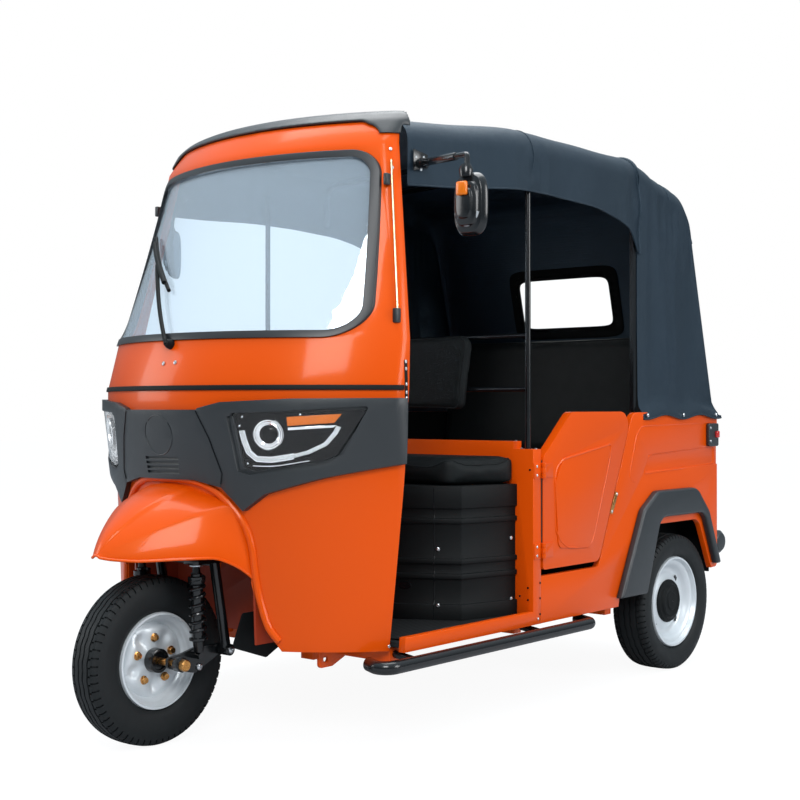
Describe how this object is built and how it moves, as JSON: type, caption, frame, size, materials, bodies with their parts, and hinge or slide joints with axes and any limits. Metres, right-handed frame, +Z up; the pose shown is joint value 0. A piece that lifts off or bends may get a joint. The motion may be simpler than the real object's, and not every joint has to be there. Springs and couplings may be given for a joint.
{
  "type": "electric rickshaw",
  "caption": "Three-wheeled electric passenger rickshaw with hinged half doors, steered front wheel, fabric canopy and bench seat.",
  "frame": {"origin": "centre of the footprint box at ground level", "axes": "+Z up, vehicle faces -Y, its left side is +X"},
  "size_m": [1.6778, 2.578, 1.852],
  "materials": {
    "paint_orange": "gloss",
    "black_plastic": "matte",
    "black_rubber": "matte",
    "clear_glass": "clear",
    "clear_film": "clear",
    "lamp_lens": "clear",
    "red_lens": "gloss",
    "canopy_cloth": "coated",
    "seat_vinyl": "grained",
    "frame_black": "satin",
    "tyre_rubber": "matte",
    "rim_silver": "satin",
    "steel": "brushed",
    "brass": "polished",
    "floor_mat": "ribbed"
  },
  "bodies": {
    "chassis": {"battery": "black_plastic", "body_sides": "paint_orange", "canopy_back": "canopy_cloth", "canopy_bows": "frame_black", "canopy_poles": "frame_black", "canopy_roof": "canopy_cloth", "chassis_frame": "paint_orange", "dashboard": "black_plastic", "drive_unit": "steel", "driver_backrest": "seat_vinyl", "driver_cushion": "seat_vinyl", "driver_seat_base": "black_plastic", "fascia": "black_plastic", "fender": "paint_orange", "flares": "black_plastic", "floor_pan": "floor_mat", "front_lower_panel": "paint_orange", "front_upper_shell": "paint_orange", "front_wheelhouse": "paint_orange", "headlamps": "lamp_lens", "hood_trim": "black_rubber", "mirrors": "black_plastic", "passenger_backrest": "seat_vinyl", "passenger_cushion": "seat_vinyl", "passenger_seat_base": "black_plastic", "posts_and_partition": "paint_orange", "rear_bumper": "black_plastic", "rear_lamps": "red_lens", "rear_panel": "paint_orange", "rear_suspension": "frame_black", "rear_window": "clear_film", "roof_cap": "black_plastic", "splash_guards": "black_plastic", "step_bars": "frame_black", "wheelhouses_rear": "black_plastic", "windscreen": "clear_glass", "windscreen_seal": "black_rubber"},
    "steering": {"fork": "frame_black", "fork_links": "frame_black", "front_axle": "brass", "front_shocks": "frame_black", "handlebar": "frame_black"},
    "front_wheel": {"front_tyre": "tyre_rubber", "front_rim": "rim_silver"},
    "rear_wheel_left": {"rear_tyre_left": "tyre_rubber", "rear_rim_left": "rim_silver"},
    "rear_wheel_right": {"rear_tyre_right": "tyre_rubber", "rear_rim_right": "rim_silver"},
    "door_left_body": {"door_left": "paint_orange"},
    "door_right_body": {"door_right": "paint_orange"},
    "hatch_body": {"rear_hatch": "paint_orange"}
  },
  "joints": [
    {"name": "steering", "type": "hinge", "parent": "chassis", "child": "steering", "pos_m": [0, -0.7996, 0.65], "axis": [0, 0.4067, 0.9135], "range_deg": [-38, 38]},
    {"name": "front_wheel_spin", "type": "hinge", "parent": "steering", "child": "front_wheel", "pos_m": [0, -1.049, 0.24], "axis": [1, 0, 0], "continuous": true},
    {"name": "rear_wheel_left_spin", "type": "hinge", "parent": "chassis", "child": "rear_wheel_left", "pos_m": [0.551, 0.901, 0.247], "axis": [1, 0, 0], "continuous": true},
    {"name": "rear_wheel_right_spin", "type": "hinge", "parent": "chassis", "child": "rear_wheel_right", "pos_m": [-0.551, 0.901, 0.247], "axis": [1, 0, 0], "continuous": true},
    {"name": "door_left_hinge", "type": "hinge", "parent": "chassis", "child": "door_left_body", "pos_m": [0.629, 0.017, 0.63], "axis": [0, 0, -1], "range_deg": [0, 75]},
    {"name": "door_right_hinge", "type": "hinge", "parent": "chassis", "child": "door_right_body", "pos_m": [-0.629, 0.017, 0.63], "axis": [0, 0, 1], "range_deg": [0, 75]},
    {"name": "rear_hatch_hinge", "type": "hinge", "parent": "chassis", "child": "hatch_body", "pos_m": [0, 1.216, 0.877], "axis": [1, 0, 0], "range_deg": [0, 80]}
  ]
}
